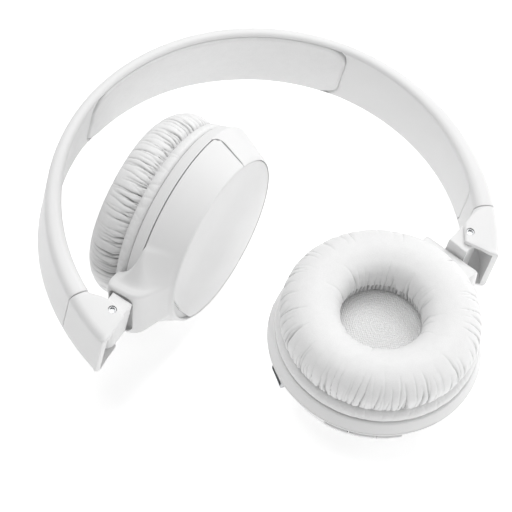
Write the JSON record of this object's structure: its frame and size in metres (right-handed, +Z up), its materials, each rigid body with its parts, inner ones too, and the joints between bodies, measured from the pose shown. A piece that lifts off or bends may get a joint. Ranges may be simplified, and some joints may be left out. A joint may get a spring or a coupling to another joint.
{
  "type": "folding on-ear headphones",
  "caption": "Wireless on-ear headphones lying folded, with a padded arched headband, curved sliders, fold and swivel hinges, and round cushioned cups with buttons.",
  "frame": {"origin": "centre of the bottom of the bounding box, on the table that the folded headphones lie on", "axes": "+Z up from the table; +Y roughly towards the crown of the headband, which is turned about 20 degrees from it as it lies; +X from the wearer's left cup to the right cup"},
  "size_m": [0.167, 0.1604, 0.0774],
  "materials": {
    "shell_plastic": "satin",
    "face_plastic": "satin",
    "leatherette": "satin",
    "cloth": "matte",
    "steel": "satin",
    "dark_plastic": "matte",
    "membrane": "satin",
    "cell_wrap": "satin",
    "board": "satin"
  },
  "bodies": {
    "headband": {"headband_shell": "shell_plastic", "headband_spring": "steel", "headband_pad": "leatherette", "inner_liner_left": "shell_plastic", "inner_liner_right": "shell_plastic"},
    "left_slider": {"slider_housing_left": "shell_plastic", "slider_strip_left": "steel", "fold_pin_left": "steel"},
    "left_knuckle": {"knuckle_left": "shell_plastic", "swivel_screw_left": "steel"},
    "left_cup": {"outer_cover_left": "shell_plastic", "face_plate_left": "face_plastic", "housing_ring_left": "shell_plastic", "baffle_left": "dark_plastic", "driver_frame_left": "dark_plastic", "driver_magnet_left": "steel", "driver_diaphragm_left": "membrane", "driver_grille_left": "dark_plastic", "driver_cloth_left": "cloth", "cushion_plate_left": "dark_plastic", "cushion_skirt_left": "leatherette", "ear_cushion_left": "leatherette", "battery": "cell_wrap"},
    "right_slider": {"slider_housing_right": "shell_plastic", "slider_strip_right": "steel", "fold_pin_right": "steel"},
    "right_knuckle": {"knuckle_right": "shell_plastic", "swivel_screw_right": "steel"},
    "right_cup": {"outer_cover_right": "shell_plastic", "face_plate_right": "face_plastic", "charging_port": "steel", "housing_ring_right": "shell_plastic", "baffle_right": "dark_plastic", "driver_frame_right": "dark_plastic", "driver_magnet_right": "steel", "driver_diaphragm_right": "membrane", "driver_grille_right": "dark_plastic", "driver_cloth_right": "cloth", "cushion_plate_right": "dark_plastic", "cushion_skirt_right": "leatherette", "ear_cushion_right": "leatherette", "circuit_board": "board"},
    "volume_down_button": {"volume_down_button": "shell_plastic"},
    "play_button": {"play_button": "shell_plastic"},
    "volume_up_button": {"volume_up_button": "shell_plastic"}
  },
  "joints": [
    {"name": "left_slider_extend", "type": "hinge", "parent": "headband", "child": "left_slider", "pos_m": [0.00002, -0.00104, 0.03162], "axis": [-0.243, 0.0639, -0.9679], "range_deg": [-15, 0]},
    {"name": "left_fold", "type": "hinge", "parent": "left_slider", "child": "left_knuckle", "pos_m": [-0.05606, -0.04535, 0.04278], "axis": [0.243, -0.0639, 0.9679], "range_deg": [-20, 2]},
    {"name": "left_swivel", "type": "hinge", "parent": "left_knuckle", "child": "left_cup", "pos_m": [-0.05606, -0.04535, 0.04278], "axis": [0.5212, 0.8502, -0.0747], "range_deg": [-1, 98.8]},
    {"name": "right_slider_extend", "type": "hinge", "parent": "headband", "child": "right_slider", "pos_m": [0.00002, -0.00104, 0.03162], "axis": [0.243, -0.0639, 0.9679], "range_deg": [-15, 0]},
    {"name": "right_fold", "type": "hinge", "parent": "right_slider", "child": "right_knuckle", "pos_m": [0.07019, 0.00079, 0.01413], "axis": [-0.243, 0.0639, -0.9679], "range_deg": [-31, 1]},
    {"name": "right_swivel", "type": "hinge", "parent": "right_knuckle", "child": "right_cup", "pos_m": [0.07019, 0.00079, 0.01413], "axis": [0.6141, 0.7825, -0.1025], "range_deg": [-94.6, 4.4]},
    {"name": "volume_down_press", "type": "slide", "parent": "right_cup", "child": "volume_down_button", "axis": [0.3725, 0.9264, -0.055], "range_m": [0, 0.0005], "stiffness_N_per_m": 1500},
    {"name": "play_press", "type": "slide", "parent": "right_cup", "child": "play_button", "axis": [0.1311, 0.9913, -0.0089], "range_m": [0, 0.0005], "stiffness_N_per_m": 1500},
    {"name": "volume_up_press", "type": "slide", "parent": "right_cup", "child": "volume_up_button", "axis": [-0.1187, 0.9922, 0.0379], "range_m": [0, 0.0005], "stiffness_N_per_m": 1500}
  ]
}
